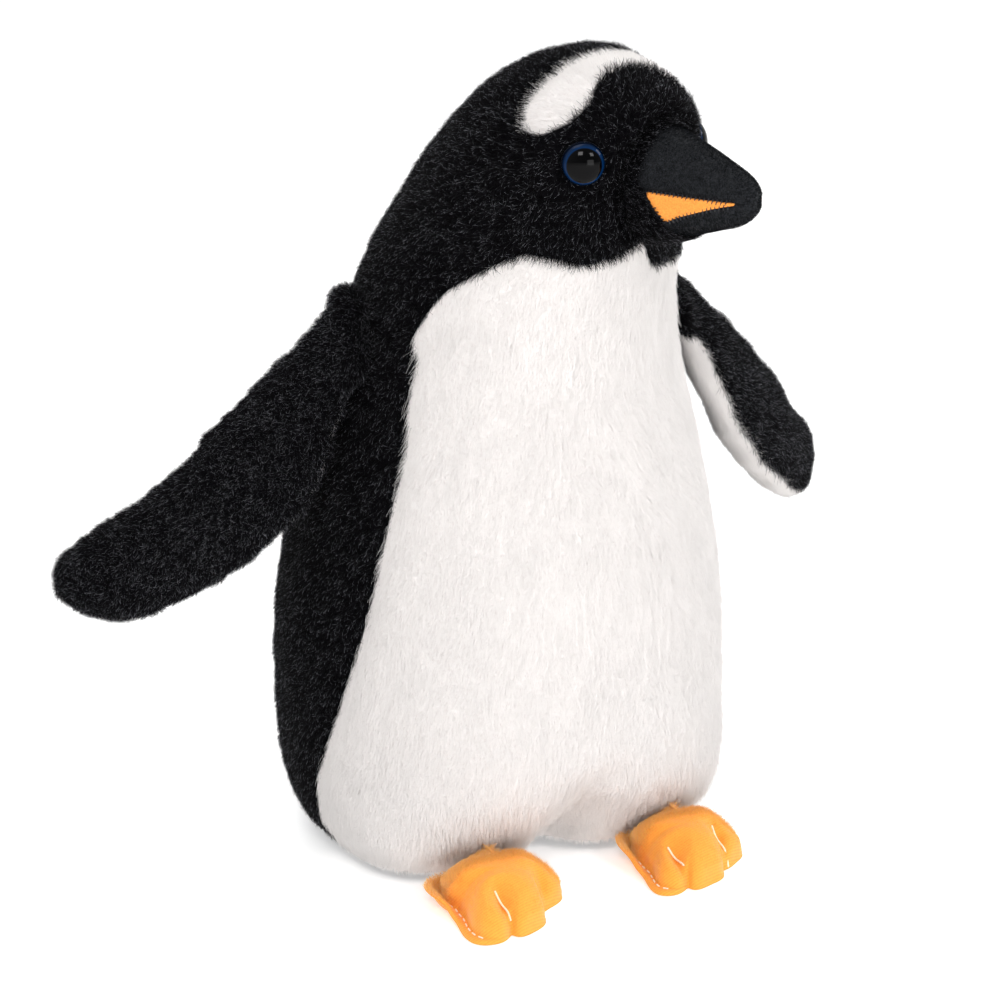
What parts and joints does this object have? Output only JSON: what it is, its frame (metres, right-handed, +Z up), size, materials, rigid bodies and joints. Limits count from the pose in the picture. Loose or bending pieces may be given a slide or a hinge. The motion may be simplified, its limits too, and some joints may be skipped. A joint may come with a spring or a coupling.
{
  "type": "plush penguin",
  "caption": "Standing plush penguin with a weighted base, hinged fabric flippers and feet, a stuffed beak and plastic safety eyes.",
  "frame": {"origin": "middle of the base panel's underside, on the surface that the penguin stands on", "axes": "+Z up; the penguin's belly faces -Y and its left side is +X; its head is turned 15 degrees towards +X and its feet 7 degrees towards -X"},
  "size_m": [0.248, 0.1721, 0.23],
  "materials": {
    "black_plush": "matte",
    "white_plush": "matte",
    "base_cloth": "matte",
    "beak_cloth": "matte",
    "orange_felt": "matte",
    "orange_cloth": "matte",
    "fibre_stuffing": "matte",
    "pellets": "matte",
    "eye_black": "gloss",
    "eye_clear": "gloss",
    "washer_white": "matte"
  },
  "bodies": {
    "torso": {"belly_panel": "white_plush", "base_panel": "base_cloth", "crown_band": "white_plush", "pellet_bag": "pellets", "body_stuffing": "fibre_stuffing", "head_stuffing": "fibre_stuffing", "beak_upper": "beak_cloth", "beak_lower": "beak_cloth", "beak_stuffing": "fibre_stuffing", "tail_cover": "black_plush", "tail_stuffing": "fibre_stuffing", "back_panel_left": "black_plush", "back_panel_right": "black_plush", "head_panel_left": "black_plush", "head_panel_right": "black_plush", "beak_patch_left": "orange_felt", "beak_patch_right": "orange_felt", "eye_disc_left": "eye_black", "eye_disc_right": "eye_black", "eye_dome_left": "eye_clear", "eye_dome_right": "eye_clear", "eye_washer_left": "washer_white", "eye_washer_right": "washer_white"},
    "flipper_left": {"flipper_outer_left": "black_plush", "flipper_inner_left": "white_plush", "flipper_stuffing_left": "fibre_stuffing"},
    "flipper_right": {"flipper_outer_right": "black_plush", "flipper_inner_right": "white_plush", "flipper_stuffing_right": "fibre_stuffing"},
    "foot_left": {"foot_top_left": "orange_cloth", "foot_sole_left": "orange_cloth", "foot_stuffing_left": "fibre_stuffing"},
    "foot_right": {"foot_top_right": "orange_cloth", "foot_sole_right": "orange_cloth", "foot_stuffing_right": "fibre_stuffing"}
  },
  "joints": [
    {"name": "flipper_left_lift", "type": "hinge", "parent": "torso", "child": "flipper_left", "pos_m": [0.05015, -0.00583, 0.15203], "axis": [0.201, -0.4624, -0.8636], "range_deg": [-15, 70], "stiffness_Nm_per_rad": 0.12},
    {"name": "flipper_right_lift", "type": "hinge", "parent": "torso", "child": "flipper_right", "pos_m": [-0.05015, -0.00583, 0.15203], "axis": [0.201, 0.4624, 0.8636], "range_deg": [-15, 70], "stiffness_Nm_per_rad": 0.12},
    {"name": "foot_left_flex", "type": "hinge", "parent": "torso", "child": "foot_left", "pos_m": [0.02845, -0.04732, 0.013], "axis": [-0.9925, 0.1219, 0], "range_deg": [-6, 30], "stiffness_Nm_per_rad": 0.05},
    {"name": "foot_right_flex", "type": "hinge", "parent": "torso", "child": "foot_right", "pos_m": [-0.03097, -0.04708, 0.013], "axis": [-0.9925, 0.1219, 0], "range_deg": [-6, 30], "stiffness_Nm_per_rad": 0.05}
  ]
}
